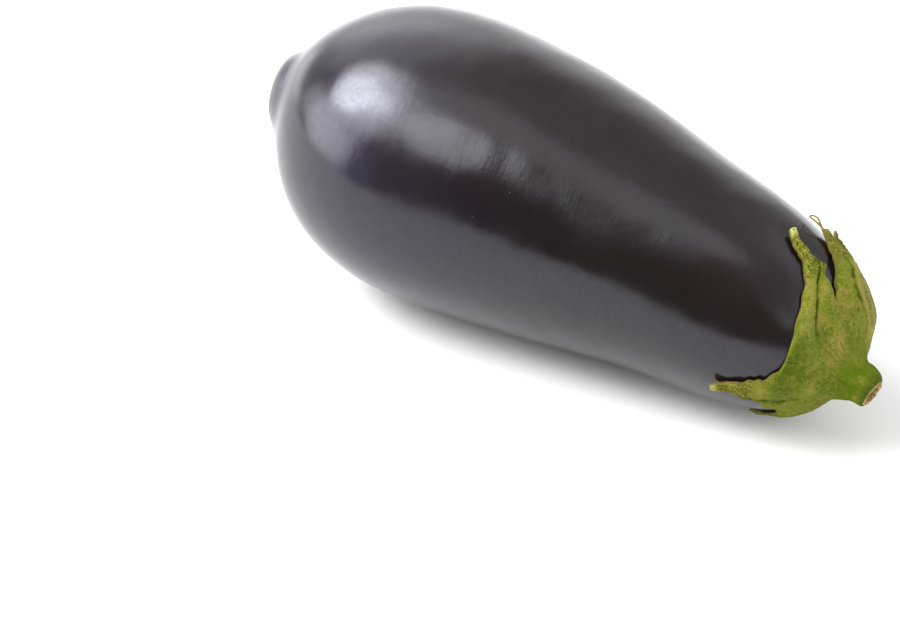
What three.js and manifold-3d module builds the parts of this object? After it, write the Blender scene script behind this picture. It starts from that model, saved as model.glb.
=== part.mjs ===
import * as THREE from 'three';
import { mergeVertices } from 'three/addons/utils/BufferGeometryUtils.js';
import Module from 'manifold-3d';

// All sizes are in mm. The fruit is drawn along its own axis, from the blossom end at 0 to the
// stalk end at LENGTH, then tilted until it lies on its resting spot.
const LENGTH = 190;
const BOW = 9.5; // sideways bow of the axis at mid length
const TILT = THREE.MathUtils.degToRad(6.5); // stalk end down
const SINK = 0.55; // depth of the flat resting spot
const BOSS_RISE = 4; // how far the boss at the blossom end sits above the axis
const FRUIT_ROWS = 55;
const FRUIT_SIDES = 64;

// Section radius along the axis: [distance from the blossom end, radius].
const PROFILE = [
  [0, 0],
  [0, 8.2],
  [2.9, 11.5],
  [7.4, 16.5],
  [11.8, 25.4],
  [24, 36.1],
  [43, 42.7],
  [65, 43.3],
  [89, 40.1],
  [113, 36.3],
  [136, 32.1],
  [156, 29.3],
  [173.6, 24.3],
  [187.6, 16.4],
  [190, 0],
];

// Stalk stub, measured from the stalk apex of the fruit along its own slightly turned axis.
const STALK_LENGTH = 10;
const STALK_SHIFT = [-2.8, -1.2]; // sideways and up
const STALK_TURN = [0.256, -0.056]; // sideways and up
const CUT_SHIFT = [0.2, -2.15]; // how far the cut end lies off that axis, sideways and up
const CUT_SLOPE = [0.2, 0.1]; // how the cut end leans ahead, sideways and up

// Calyx flesh.
const GAP = 0.35; // clear of the skin
const CAP_THICKNESS = 1.5;
const LOBE_THICKNESS = 1.2;
const EDGE_THICKNESS = 0.8;
const FLARE_START = 5.4; // height up the stalk where the flare begins
const FLARE_RADIUS = 5.6;
const FLARE_END = 12.5; // distance from the stalk apex where the flare meets the cap
const LOBE_SIDES = 12;

// Lobes in turn round the stalk. Each row crosses the lobe, from its base to its tip:
// distance from the stalk apex and bearing of the first edge, the same of the second edge,
// and the lift of the blade off the skin. Neighbours share their base corners.
const LOBES = [
  [
    [24, 38, 20.9, 95, 0],
    [25.4, 39, 22.8, 88.5, 0],
    [28, 41, 26.6, 80, 0.1],
    [30.6, 43.5, 30.4, 72, 0.2],
    [33.4, 45, 33.6, 66.5, 0.2],
    [36.2, 47.5, 36.4, 62.5, 0.4],
    [38.8, 54, 39, 60.4, 0.8],
    [41.4, 55.5, 41.4, 59.5, 1.2],
    [43.6, 56.5, 43.6, 59.5, 0.9],
  ],
  [
    [20.9, 95, 21.4, 161.5, 0],
    [22.4, 93.4, 22.2, 146, 0],
    [24.4, 92, 24.2, 131, 0],
    [26.8, 89.8, 27, 115, 0],
    [28.8, 85, 29.4, 105, 0.1],
    [31.4, 87.6, 32.4, 98.4, 0.2],
    [34.8, 87.8, 35.6, 94.8, 0.3],
    [38.4, 86.6, 38.9, 92.4, 0.5],
    [41.3, 83, 42, 87.4, 0.9],
  ],
  [
    [21.4, 161.5, 22.5, 222, 0],
    [22.4, 173, 23.8, 214, 0],
    [25.4, 181, 26, 208, 0],
    [29, 186, 29, 204, 0.1],
    [32.6, 189.5, 32.6, 201, 0.2],
    [36.2, 192.5, 36, 199.5, 0.4],
    [39.6, 194.5, 39.4, 199, 1],
  ],
  [
    [22.5, 222, 21, 280, 0],
    [24, 230, 23, 275, 0],
    [26.6, 236, 26, 266, 0],
    [29.6, 240.5, 29, 259, 0],
    [32.6, 244, 32, 254, 0.1],
    [35, 246, 34.6, 251, 0.2],
  ],
  [
    [21, 280, 22, 338, 0],
    [22.6, 287, 23.4, 330, 0],
    [25.6, 294, 26.4, 320, 0],
    [29.4, 298, 30, 313, 0.1],
    [33, 301, 33.4, 309, 0.4],
    [36.4, 302.5, 36.6, 306.5, 1],
  ],
  [
    [22, 338, 24, 398, 0],
    [23.6, 346, 25.6, 394.5, 0],
    [26.4, 358, 28, 393, 0.1],
    [29.4, 372, 30.6, 394.5, 0.4],
    [32.4, 386, 33, 399, 0.4],
    [35.4, 396, 35.6, 403.5, 0.8],
    [38.2, 401.5, 38.2, 405.5, 1.4],
  ],
];

// Folds raised on the calyx. Each point of a path holds the distance from the stalk apex, the
// bearing and the height there; a crease of the given depth runs beside it, at an offset.
const FOLDS = [
  {
    path: [
      [7, 30, 0],
      [10.5, 38, 0.6],
      [14.5, 51, 0.9],
      [18.5, 60, 0.8],
      [23, 58, 0.7],
      [28, 51, 0.4],
      [33, 50, 0],
    ],
    half: 2.7,
    crease: 0.5,
    offset: 3.2,
  },
  {
    path: [[9, 156, 0], [15, 150, 0.5], [20, 134, 0.7], [25, 113, 0.6], [30, 97, 0.5], [38, 90, 0]],
    half: 2.6,
    crease: 0.6,
    offset: -2.8,
  },
  {
    path: [[9, 108, 0], [15, 106, 0.4], [20, 100, 0.4], [34, 89, 0]],
    half: 2.2,
    crease: 0,
    offset: 0,
  },
  {
    path: [[8, 190, 0], [14, 192, 0.5], [24, 194, 0.5], [36, 197, 0]],
    half: 2.4,
    crease: 0.5,
    offset: 2.6,
  },
  {
    path: [[8, 248, 0], [16, 250, 0.2], [24, 250, 0.3], [33, 248, 0]],
    half: 2.4,
    crease: 0.4,
    offset: -2.6,
  },
  {
    path: [[8, 306, 0], [14, 308, 0.4], [24, 307, 0.5], [35, 304, 0]],
    half: 2.4,
    crease: 0.4,
    offset: 2.6,
  },
  {
    path: [[10, 372, 0], [17, 371, 0.4], [25, 378, 0.4], [36, 398, 0]],
    half: 2.4,
    crease: 0.4,
    offset: -2.6,
  },
];

const wasm = await Module();
wasm.setup();

const mix = (a, b, t) => a + (b - a) * t;
const clamp01 = (t) => Math.min(Math.max(t, 0), 1);
const smooth = (a, b, t) => {
  const k = clamp01((t - a) / (b - a));
  return k * k * (3 - 2 * k);
};
const bell = (d, half) => Math.exp(-((d / half) ** 2));

// Point of a clamped uniform cubic B-spline, u from 0 to 1.
function bspline(points, u) {
  const spans = points.length - 3;
  const knot = (i) => clamp01((i - 3) / spans);
  const first = Math.min(Math.floor(u * spans), spans - 1);
  const d = points.slice(first, first + 4);
  for (let level = 1; level <= 3; level++) {
    for (let j = 3; j >= level; j--) {
      const low = knot(first + j);
      const k = (u - low) / (knot(first + j + 4 - level) - low);
      d[j] = d[j].map((value, axis) => mix(d[j - 1][axis], value, k));
    }
  }
  return d[3];
}

// Row of a table at t from 0 to 1, eased through its rows.
function along(rows, t) {
  const last = rows.length - 1;
  const i = Math.min(Math.floor(t * last), last - 1);
  const k = t * last - i;
  const at = (j) => rows[Math.min(Math.max(j, 0), last)];
  return rows[i].map((_, c) => {
    const [a, b, m, n] = [at(i)[c], at(i + 1)[c], at(i - 1)[c], at(i + 2)[c]];
    const [p, q] = [(b - m) / 2, (n - a) / 2];
    return a + p * k + (3 * (b - a) - 2 * p - q) * k * k + (2 * (a - b) + p + q) * k ** 3;
  });
}

// Axis point and directions at a distance from the blossom end.
function axisAt(x) {
  const slope = (BOW * 4 * (LENGTH - 2 * x)) / LENGTH ** 2;
  const bowed = (BOW * 4 * x * (LENGTH - x)) / LENGTH ** 2;
  const origin = new THREE.Vector3(x, bowed, BOSS_RISE * bell(x, 9));
  const ahead = new THREE.Vector3(1, slope, 0).normalize();
  const up = new THREE.Vector3(0, 0, 1);
  return { origin, ahead, up, side: new THREE.Vector3().crossVectors(up, ahead) };
}

// Slight natural unevenness of the section.
function swell(x, angle) {
  const middle = Math.sin((Math.PI * x) / LENGTH);
  const two = 0.008 * Math.cos(2 * angle - 0.7 + x / 120);
  const three = 0.005 * Math.cos(3 * angle + 0.9 + x / 50);
  return 1 + (two + three) * middle;
}

// Small blossom scar: a shallow dimple inside a low rim.
const scar = (r) => 0.8 * bell(r, 2.4) - 0.3 * bell(r - 4.4, 1.3);

// The meridian from the stalk apex, at even steps of arc length.
const STEP = 0.25;
const MERIDIAN = [];
{
  let previous = bspline(PROFILE, 1);
  let run = 0;
  MERIDIAN.push(previous);
  for (let i = 1; i <= 6000; i++) {
    const next = bspline(PROFILE, 1 - i / 6000);
    run += Math.hypot(next[0] - previous[0], next[1] - previous[1]);
    previous = next;
    if (run >= STEP * MERIDIAN.length) {
      MERIDIAN.push(next);
    }
  }
}

// Point above the skin: arc distance from the stalk apex, angle round the axis, height.
function onSkin(arc, angle, height) {
  const i = Math.min(Math.floor(arc / STEP), MERIDIAN.length - 2);
  const k = arc / STEP - i;
  const [a, b] = [MERIDIAN[i], MERIDIAN[i + 1]];
  const [x, r] = [mix(a[0], b[0], k), mix(a[1], b[1], k)];
  const [c, d] = [MERIDIAN[Math.max(i - 3, 0)], MERIDIAN[i + 4]];
  const run = new THREE.Vector2(d[0] - c[0], i < 3 ? d[1] + c[1] : d[1] - c[1]).normalize();
  if (i < 3) {
    run.lerp(new THREE.Vector2(0, 1), 1 - arc / (3 * STEP)).normalize();
  }
  const { origin, ahead, side, up } = axisAt(x);
  const out = side.multiplyScalar(Math.cos(angle)).addScaledVector(up, Math.sin(angle));
  return origin
    .addScaledVector(out, r * swell(x, angle) - run.x * height)
    .addScaledVector(ahead, run.y * height);
}

// Point about the stalk axis: height above the stalk apex, radius, angle, and how far it
// leans towards the cut end, from 0 to 1.
const STALK = (() => {
  const { origin, ahead, side, up } = axisAt(LENGTH);
  const axis = ahead.clone();
  axis.addScaledVector(side, STALK_TURN[0]).addScaledVector(up, STALK_TURN[1]).normalize();
  const base = origin.addScaledVector(side, STALK_SHIFT[0]).addScaledVector(up, STALK_SHIFT[1]);
  const right = side.clone().addScaledVector(axis, -side.dot(axis)).normalize();
  return { base, axis, right, top: new THREE.Vector3().crossVectors(axis, right) };
})();

function onStalk(height, radius, angle, lean = 0) {
  const ribbed = 1 + 0.03 * Math.cos(5 * angle + 0.6) + 0.025 * Math.cos(2 * angle - 0.8);
  const x = radius * ribbed * Math.cos(angle) + lean * CUT_SHIFT[0];
  const y = radius * ribbed * Math.sin(angle) + lean * CUT_SHIFT[1];
  return STALK.base
    .clone()
    .addScaledVector(STALK.axis, height + lean * (CUT_SLOPE[0] * x + CUT_SLOPE[1] * y))
    .addScaledVector(STALK.right, x)
    .addScaledVector(STALK.top, y);
}

// Height of the folds over the plain calyx surface.
function folds(arc, degrees) {
  let total = 0;
  for (const { path, half, crease, offset } of FOLDS) {
    const end = path.length - 1;
    if (arc <= path[0][0] || arc >= path[end][0]) {
      continue;
    }
    const i = path.findIndex(([from]) => from > arc) - 1;
    const k = (arc - path[i][0]) / (path[i + 1][0] - path[i][0]);
    const [, centre, height] = path[i].map((value, c) => mix(value, path[i + 1][c], k));
    const turn = ((((degrees - centre) % 360) + 540) % 360) - 180;
    const d = (turn * Math.PI * radiusAt(arc)) / 180;
    const fade = Math.min((arc - path[0][0]) / 4, (path[end][0] - arc) / 4, 1);
    total += height * bell(d, half) - crease * fade * bell(d - offset, 1.2);
  }
  return total;
}

function radiusAt(arc) {
  return MERIDIAN[Math.min(Math.round(arc / STEP), MERIDIAN.length - 1)][1];
}

// Outer surface between the flare and the lobe bases.
function capPoint(arc, degrees, dip) {
  const angle = THREE.MathUtils.degToRad(degrees);
  const uneven = 0.2 * Math.sin(5 * angle + arc / 3) * Math.sin(2 * angle + 1);
  const flesh = CAP_THICKNESS + folds(arc, degrees) + uneven;
  return onSkin(arc, angle, GAP + mix(flesh, EDGE_THICKNESS, dip));
}

// Flare from the stalk side to the start of the cap.
function flarePoint(t, degrees) {
  const angle = THREE.MathUtils.degToRad(degrees);
  const a = onStalk(FLARE_START, FLARE_RADIUS, angle);
  const b = capPoint(FLARE_END, degrees, 0);
  const leave = a.clone().sub(onStalk(FLARE_START + 1, FLARE_RADIUS - 0.45, angle)).multiplyScalar(6);
  const arrive = capPoint(FLARE_END + 0.5, degrees, 0).sub(capPoint(FLARE_END - 0.5, degrees, 0));
  arrive.setLength(9);
  return a
    .multiplyScalar(2 * t ** 3 - 3 * t ** 2 + 1)
    .addScaledVector(leave, t ** 3 - 2 * t ** 2 + t)
    .addScaledVector(b, 3 * t ** 2 - 2 * t ** 3)
    .addScaledVector(arrive, t ** 3 - t ** 2);
}

// Place on a lobe: w across from 0 to 1, t from base to tip.
function lobePlace(rows, w, t) {
  const [s0, b0, s1, b1, lift] = along(rows, t);
  return { arc: mix(s0, s1, w), degrees: mix(b0, b1, w), lift };
}

// Outer skin of a lobe: thick along the middle, thin at the edges and towards the tip.
function lobePoint(rows, w, t) {
  const { arc, degrees, lift } = lobePlace(rows, w, t);
  const round = Math.sqrt(1 - (2 * w - 1) ** 4);
  const flesh = mix(CAP_THICKNESS, LOBE_THICKNESS, smooth(0, 0.5, t)) + folds(arc, degrees);
  const height = GAP + lift + mix(EDGE_THICKNESS, Math.max(flesh, EDGE_THICKNESS), round);
  return onSkin(arc, THREE.MathUtils.degToRad(degrees), height);
}

function lobeUnderside(rows, w, t) {
  const { arc, degrees, lift } = lobePlace(rows, w, t);
  return onSkin(arc, THREE.MathUtils.degToRad(degrees), GAP + lift);
}

// Collects faces and closes them into one body.
class Skin {
  constructor() {
    this.points = [];
  }

  triangle(a, b, c) {
    const area = new THREE.Triangle(a, b, c).getArea();
    if (area > 1e-6) {
      this.points.push(a, b, c);
    }
  }

  quad(a, b, c, d) {
    if (a.distanceToSquared(c) <= b.distanceToSquared(d)) {
      this.triangle(a, b, c);
      this.triangle(a, c, d);
    } else {
      this.triangle(a, b, d);
      this.triangle(b, c, d);
    }
  }

  // Sheet over rows of points; the far side is outward when flip is false.
  sheet(rows, flip = false) {
    for (let i = 0; i + 1 < rows.length; i++) {
      for (let j = 0; j + 1 < rows[i].length; j++) {
        const corners = [rows[i][j], rows[i + 1][j], rows[i + 1][j + 1], rows[i][j + 1]];
        this.quad(...(flip ? corners.reverse() : corners));
      }
    }
  }

  build() {
    const geometry = new THREE.BufferGeometry().setFromPoints(this.points);
    return mergeVertices(geometry, 1e-4);
  }
}

const range = (count) => Array.from({ length: count + 1 }, (_, i) => i / count);

// ---- Calyx with its stalk stub ----

const calyxSkin = new Skin();

// Cut end of the stalk: [radius, height from the end]; a low rim round a sunken pith.
const CUT_END = [
  [0, -0.7],
  [1.1, -0.6],
  [2, -0.5],
  [2.6, -0.05],
  [3.2, 0.12],
  [3.7, 0.02],
];

// Side of the stalk, rounding over to the cut: [height above the apex, radius, lean].
const STALK_SIDE = [
  [9.8, 4.15, 0.9],
  [9.25, 4.75, 0.64],
  [8.4, 5.15, 0.34],
  [7.4, 5.4, 0.12],
  [6.4, 5.5, 0.03],
];

for (const rows of LOBES) {
  const across = range(LOBE_SIDES);
  const [base] = rows;
  const bearing = (w) => mix(base[1], base[3], w);
  const sheet = [];
  for (const [radius, height] of CUT_END) {
    sheet.push(across.map((w) => {
      return onStalk(STALK_LENGTH + height, radius, THREE.MathUtils.degToRad(bearing(w)), 1);
    }));
  }
  for (const [height, radius, lean] of STALK_SIDE) {
    sheet.push(across.map((w) => {
      return onStalk(height, radius, THREE.MathUtils.degToRad(bearing(w)), lean);
    }));
  }
  for (const t of range(6).slice(0, -1)) {
    sheet.push(across.map((w) => flarePoint(t, bearing(w))));
  }
  for (const t of range(6).slice(0, -1)) {
    sheet.push(across.map((w) => {
      const arc = mix(FLARE_END, mix(base[0], base[2], w), t);
      const dip = (1 - Math.sqrt(1 - (2 * w - 1) ** 4)) * smooth(0.3, 1, t);
      return capPoint(arc, bearing(w), dip);
    }));
  }
  const steps = range((rows.length - 1) * 2);
  for (const t of steps) {
    sheet.push(across.map((w) => lobePoint(rows, w, t)));
  }
  calyxSkin.sheet(sheet);

  const inner = [];
  for (const t of range(5).slice(0, -1)) {
    inner.push(across.map((w) => {
      const arc = mix(base[0], base[2], w) * t;
      return onSkin(arc, THREE.MathUtils.degToRad(bearing(w)), GAP);
    }));
  }
  for (const t of steps) {
    inner.push(across.map((w) => lobeUnderside(rows, w, t)));
  }
  calyxSkin.sheet(inner, true);

  const rim = [
    ...steps.map((t) => [lobeUnderside(rows, 0, t), lobePoint(rows, 0, t)]),
    ...across.slice(1).map((w) => [lobeUnderside(rows, w, 1), lobePoint(rows, w, 1)]),
    ...steps.reverse().slice(1).map((t) => [lobeUnderside(rows, 1, t), lobePoint(rows, 1, t)]),
  ];
  calyxSkin.sheet(rim);
}

// ---- Fruit ----

function fruitGeometry() {
  const skin = new Skin();
  const scarRows = range(9).slice(0, -1).map((t) => (t * 1.5) / FRUIT_ROWS);
  const stations = [...scarRows, ...range(FRUIT_ROWS).slice(2)];
  const rows = stations.map((u) => {
    const [x, r] = bspline(PROFILE, u);
    return range(FRUIT_SIDES).map((turn) => {
      const angle = (turn % 1) * Math.PI * 2;
      const { origin, ahead, side, up } = axisAt(x);
      const radius = r * swell(x, angle);
      return origin
        .addScaledVector(side, radius * Math.cos(angle))
        .addScaledVector(up, radius * Math.sin(angle))
        .addScaledVector(ahead, x < 20 ? scar(r) : 0);
    });
  });
  skin.sheet(rows, true);
  return skin.build();
}

function settle(geometry) {
  return geometry.rotateY(TILT);
}

function toSolid(geometry) {
  return new wasm.Manifold(
    new wasm.Mesh({
      numProp: 3,
      vertProperties: new Float32Array(geometry.attributes.position.array),
      triVerts: new Uint32Array(geometry.index.array),
    }),
  );
}

function fromSolid(solid) {
  const mesh = solid.getMesh();
  const geometry = new THREE.BufferGeometry();
  geometry.setAttribute('position', new THREE.BufferAttribute(mesh.vertProperties, 3));
  geometry.setIndex(new THREE.BufferAttribute(mesh.triVerts, 1));
  return geometry;
}

const fruit = settle(fruitGeometry());
const calyx = settle(calyxSkin.build());
fruit.computeBoundingBox();
const floor = fruit.boundingBox.min.z + SINK;
const above = new THREE.BoxGeometry(400, 400, 200).deleteAttribute('normal').deleteAttribute('uv');
above.translate(LENGTH / 2, 0, floor + 100);
const rested = fromSolid(toSolid(fruit).intersect(toSolid(mergeVertices(above))));

// Stand the flat spot on z = 0, with the whole centred over the origin.
const bounds = new THREE.Box3();
for (const geometry of [rested, calyx]) {
  geometry.computeBoundingBox();
  bounds.union(geometry.boundingBox);
}
const centre = bounds.getCenter(new THREE.Vector3());

const part = new THREE.Group();
part.name = 'eggplant';

function addMesh(name, geometry, color, roughness) {
  geometry.translate(-centre.x, -centre.y, -floor);
  geometry.computeVertexNormals();
  const material = new THREE.MeshStandardMaterial({ color, roughness, metalness: 0 });
  const mesh = new THREE.Mesh(geometry, material);
  mesh.name = name;
  part.add(mesh);
}

addMesh('fruit', rested, 0x241c24, 0.22);
addMesh('calyx', calyx, 0x74883a, 0.7);

export default part;
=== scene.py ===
"""A whole eggplant lying on its side: a glossy dark fruit with a green calyx and a stalk stub."""

import math

import bpy
import numpy as np
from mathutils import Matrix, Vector


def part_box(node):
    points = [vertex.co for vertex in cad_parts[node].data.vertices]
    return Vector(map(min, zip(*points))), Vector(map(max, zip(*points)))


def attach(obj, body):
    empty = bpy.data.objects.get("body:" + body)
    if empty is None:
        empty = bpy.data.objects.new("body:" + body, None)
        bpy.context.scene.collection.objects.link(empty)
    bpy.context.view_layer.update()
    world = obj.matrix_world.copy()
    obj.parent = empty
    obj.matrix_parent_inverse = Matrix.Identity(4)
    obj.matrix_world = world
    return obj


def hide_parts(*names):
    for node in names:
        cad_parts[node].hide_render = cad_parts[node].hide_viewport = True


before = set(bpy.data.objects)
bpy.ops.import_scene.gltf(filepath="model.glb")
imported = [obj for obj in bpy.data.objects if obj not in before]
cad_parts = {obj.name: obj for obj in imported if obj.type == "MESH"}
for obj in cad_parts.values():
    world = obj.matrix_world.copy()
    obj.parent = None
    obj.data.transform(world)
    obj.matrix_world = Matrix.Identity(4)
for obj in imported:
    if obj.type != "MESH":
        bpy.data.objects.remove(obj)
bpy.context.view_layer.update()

MM = 0.001
UP = np.array([0.0, 0.0, 1.0])

# ---- Sizes shared with the solids, in mm, along the fruit's own axis ----

# The fruit: its length, its bow sideways, how far its thin end tips down, how much its blossom end
# is raised and over what length, and its profile, [distance from the blossom end, radius].
LENGTH = 190
BOW = 9.5
TILT = math.radians(6.5)
BOSS_RISE = 4
BOSS_RUN = 9
PROFILE = [
    (0, 0), (0, 8.2), (2.9, 11.5), (7.4, 16.5), (11.8, 25.4), (24, 36.1), (43, 42.7), (65, 43.3),
    (89, 40.1), (113, 36.3), (136, 32.1), (156, 29.3), (173.6, 24.3), (187.6, 16.4), (190, 0),
]
# Slow swellings of the fruit: how many round it, height, turn and the length of their twist.
SWELLINGS = [(2, 0.008, -0.7, 120), (3, 0.005, 0.9, 50)]

# The stalk: its length, how far its base moves and it leans sideways and up, its ribs by number,
# height and turn, and how far its cut end moves and slopes.
STALK_LENGTH = 10
STALK_SHIFT = (-2.8, -1.2)
STALK_TURN = (0.256, -0.056)
STALK_RIBS = [(5, 0.03, 0.6), (2, 0.025, -0.8)]
CUT_SHIFT = (0.2, -2.15)
CUT_SLOPE = (0.2, 0.1)

# The calyx: its gap to the fruit, the thickness of its parts and the height of the cap's waves.
GAP = 0.35
CAP_THICKNESS = 1.5
LOBE_THICKNESS = 1.2
EDGE_THICKNESS = 0.5
CAP_WAVES = 0.2

# The flare from the stalk to the cap: where it starts on the stalk and ends on the cap, how much
# it widens in a mm at its start, and how far each end keeps its own direction.
FLARE_START = 5.4
FLARE_RADIUS = 5.6
FLARE_END = 12.5
FLARE_WIDENING = 0.45
FLARE_LEAVE = 6
FLARE_ARRIVE = 9

# Each row crosses a lobe: distance from the stalk apex and bearing of the first edge, the same
# of the second edge, and the lift of the blade. The solid's first lobe is longer, and reaches to
# the end of the threads that are here in its place.
LOBES = [
    [
        (24, 38, 20.9, 95, 0), (25.4, 39, 22.8, 88.5, 0), (28, 41, 26.6, 80, 0.1),
        (30.6, 43.5, 30.4, 72, 0.2), (33.4, 45, 33.6, 66.5, 0.2), (36.2, 47.5, 36.4, 62.5, 0.4),
        (38.8, 56, 39, 60.4, 0.8),
    ],
    [
        (20.9, 95, 21.4, 161.5, 0), (22.4, 93.4, 22.2, 146, 0), (24.4, 92, 24.2, 131, 0),
        (26.8, 89.8, 27, 115, 0), (28.8, 85, 29.4, 105, 0.1), (31.4, 87.6, 32.4, 98.4, 0.2),
        (34.8, 87.8, 35.6, 94.8, 0.3), (38.4, 86.6, 38.9, 92.4, 0.5), (41.3, 83, 42, 87.4, 0.9),
    ],
    [
        (21.4, 161.5, 22.5, 222, 0), (22.4, 173, 23.8, 214, 0), (25.4, 181, 26, 208, 0),
        (29, 186, 29, 204, 0.1), (32.6, 189.5, 32.6, 201, 0.2), (36.2, 192.5, 36, 199.5, 0.4),
        (39.6, 194.5, 39.4, 199, 1),
    ],
    [
        (22.5, 222, 21, 280, 0), (24, 230, 23, 275, 0), (26.6, 236, 26, 266, 0),
        (29.6, 240.5, 29, 259, 0), (32.6, 244, 32, 254, 0.1), (35, 246, 34.6, 251, 0.2),
    ],
    [
        (21, 280, 22, 338, 0), (22.6, 287, 23.4, 330, 0), (25.6, 294, 26.4, 320, 0),
        (29.4, 298, 30, 313, 0.1), (33, 301, 33.4, 309, 0.4), (36.4, 302.5, 36.6, 306.5, 1),
    ],
    [
        (22, 338, 24, 398, 0), (23.6, 346, 25.6, 394.5, 0), (26.4, 358, 28, 393, 0.1),
        (29.4, 372, 30.6, 394.5, 0.4), (32.4, 386, 33, 399, 0.4), (35.4, 396, 35.6, 403.5, 0.8),
        (38.2, 401.5, 38.2, 405.5, 1.4),
    ],
]

# Cut end of the stalk, [radius, height from the end], and the side rounding over to it,
# [height, radius, how far it leans towards the cut].
CUT_END = [(0, -0.7), (1.1, -0.6), (2, -0.5), (2.6, -0.05), (3.2, 0.12), (3.7, 0.02)]
STALK_SIDE = [
    (9.8, 4.15, 0.9), (9.25, 4.75, 0.64), (8.4, 5.15, 0.34), (7.4, 5.4, 0.12), (6.4, 5.5, 0.03),
]

# ---- Finer shapes than the solids have, in mm ----

# The blossom scar: depth and width of its pit; height, radius and width of the lip round it.
SCAR_PIT = (0.6, 2.2)
SCAR_LIP = (0.1, 4.4, 1.6)

# Unevenness of the skin, which fades out at both ends within a radius, and how softly the skin
# flattens where it meets the floor.
SKIN_LUMPS = 0.15
SKIN_CRUMPLE = 0.02
SKIN_STREAKS = 0.002
EVEN_END_RADIUS = 14
FLOOR_EASE = 0.08

# Where the fruit's marks start and are full: by the radius from its ends, by the distance from
# the blossom end and by the sine of the angle round it.
BLOSSOM_SIDE = 20
CORK_RADII = (3.6, 6.2)
NUB_RADII = (9, 15)
SHOULDER = (150, 186)
BROAD_END = (45, 120)
# The top side gets a lighter, warmer colour: partly a warmer tone, partly painted light.
TOPSIDE = (25, 75)
TOPSIDE_SINES = (0.2, 0.9)

# Unevenness of the stalk, its cut end and the calyx's flesh.
STALK_LUMPS = 0.1
STALK_GRAIN = 0.05
STALK_GRAIN_RADII = (2.5, 5)
PITH_GRAIN = 0.09
PITH_GRAIN_STRETCH = 3
PITH_GRAIN_RADII = (0.3, 1.2)
PITH_RADII = (2, 2.6)
FLESH_LUMPS = 0.1
FLESH_GRAIN = 0.035

# Where marks change down the stalk's side and along the flare, and where the cap thins towards
# the gaps between its lobes, all as parts of the length.
CUT_RIM = (0, 0.12)
STALK_END = (0.2, 0.7)
STALK_FADE = (0.1, 0.95)
CAP_DIP = (0.3, 1)

# Folds on the calyx, which the solid has plainer: (distance from the stalk apex, bearing, height)
# along a path, the ridge's half width, the depth of the crease beside it, its sideways offset and
# how dry the ridge is.
FOLDS = [
    ([(7, 30, 0), (10.5, 38, 0.7), (14.5, 51, 1.0), (18.5, 60, 0.9), (23, 58, 0.8),
      (28, 51, 0.5), (33, 50, 0)], 2.7, 0.6, 3.1, 1),
    ([(9, 156, 0), (15, 150, 0.6), (20, 134, 0.9), (25, 113, 0.8), (30, 97, 0.6),
      (38, 90, 0)], 3.2, 0.55, -2.8, 0),
    ([(9, 108, 0), (15, 106, 0.4), (20, 100, 0.5), (34, 89, 0)], 2.2, 0, 0, 0.4),
    ([(8, 190, 0), (14, 192, 0.5), (24, 194, 0.6), (36, 197, 0)], 2.4, 0.5, 2.6, 0),
    ([(8, 248, 0), (16, 250, 0.3), (24, 250, 0.4), (33, 248, 0)], 2.4, 0.4, -2.6, 0.3),
    ([(8, 306, 0), (14, 308, 0.4), (24, 307, 0.6), (35, 304, 0)], 2.4, 0.5, 2.6, 0.6),
    ([(10, 372, 0), (17, 371, 0.4), (25, 378, 0.5), (36, 398, 0)], 2.4, 0.5, -2.6, 0.3),
]

# A ridge is steeper on its crease's side. It fades in and out along its path, and the crease
# starts later, wanders sideways, varies in depth and has a low lip on both sides, given by its
# height, distance and width.
RIDGE_FADE = 4
RIDGE_STEEP = 0.75
RIDGE_GENTLE = 1.3
CREST = 0.8
CREASE_START = (5, 11)
CREASE_WANDER = 0.22
CREASE_RAG = 0.1
CREASE_DEPTH = (0.55, 0.45)
CREASE_DEPTH_WAVES = (-1.2, 1.0)
CREASE_WIDTH = 0.45
CREASE_LIP = (0.15, 0.9, 0.5)
# Width of the painted shade that darkens the colour along a crease.
CREASE_SHADE_WIDTH = 0.85

# A patch low on the flesh, darker green partly as painted shade and partly as darker flesh: the
# bearings where it starts and ends, its distance from the stalk apex and its width. A small scuff:
# distance, bearing, and width along and across.
SHADE_BEARINGS = (116, 136, 184, 206)
SHADE_DISTANCE = (19.8, 4.2)
SCUFF = (12.4, 121)
SCUFF_WIDTHS = (1.9, 2.4)

# A lobe's edges wander and lift. They start to a little past its base and calm down towards its
# tip, both as parts of its length, as are the crinkled strap, the thinning and the tip.
EDGE_WANDER = 0.22
EDGE_LIFT = 0.22
EDGE_START = (0.02, 0.15)
EDGE_CALM = (0.5, 0.8)
EDGE_CALMING = 0.6
THINNING = (0, 0.5)
STRAP = (0.35, 0.6)
TIP = (0.88, 0.95)
DRY_TIP = 0.7
CRINKLE = 0.28
CRINKLE_LEVEL = 0.6
RIM_BULGE = 0.2
RIM_START = (0, 0.12)

# The lobes whose tips dry out, and the curled threads at those tips, each by its points: distance
# from the stalk apex, bearing and height.
CURLED_LOBES = (0, 5)
THREADS = [
    [(37.8, 58.2, 1.3), (39.2, 58.6, 1.7), (40.3, 59.4, 1.9), (41.4, 60, 1.9), (42.6, 60, 1.8),
     (43.8, 59.4, 1.6), (44.1, 58.8, 1.7)],
    [(37.8, 60.2, 1.4), (39.2, 61, 2.0), (40.25, 62, 2.7), (41.5, 62, 3.2), (42.75, 62, 3.0),
     (43.7, 60.4, 2.2), (44.1, 58.8, 1.7)],
    [(36.6, 48, 1.2), (37.4, 48.4, 2.0), (38.2, 48.2, 2.7), (38.5, 46.4, 3.0), (38.2, 44.8, 2.8)],
    [(37, 403, 1.5), (38.2, 403.6, 2.0), (38.9, 404, 2.2)],
]
THREAD_RADIUS = 0.34
THREAD_TAPER = 0.65
THREAD_DARKNESS = 0.8

# How far apart the folds, the lobes and a lobe's two edges read the same random fields, so that
# no two of them look alike.
FOLD_APART = 60
LOBE_APART = 40
EDGE_APART = 200
FLUTTER_APART = 90

# The radius of the circle on which the fibres' flow is laid out round the calyx.
FLOW_RADIUS = 25

# ---- Mesh fineness ----

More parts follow.
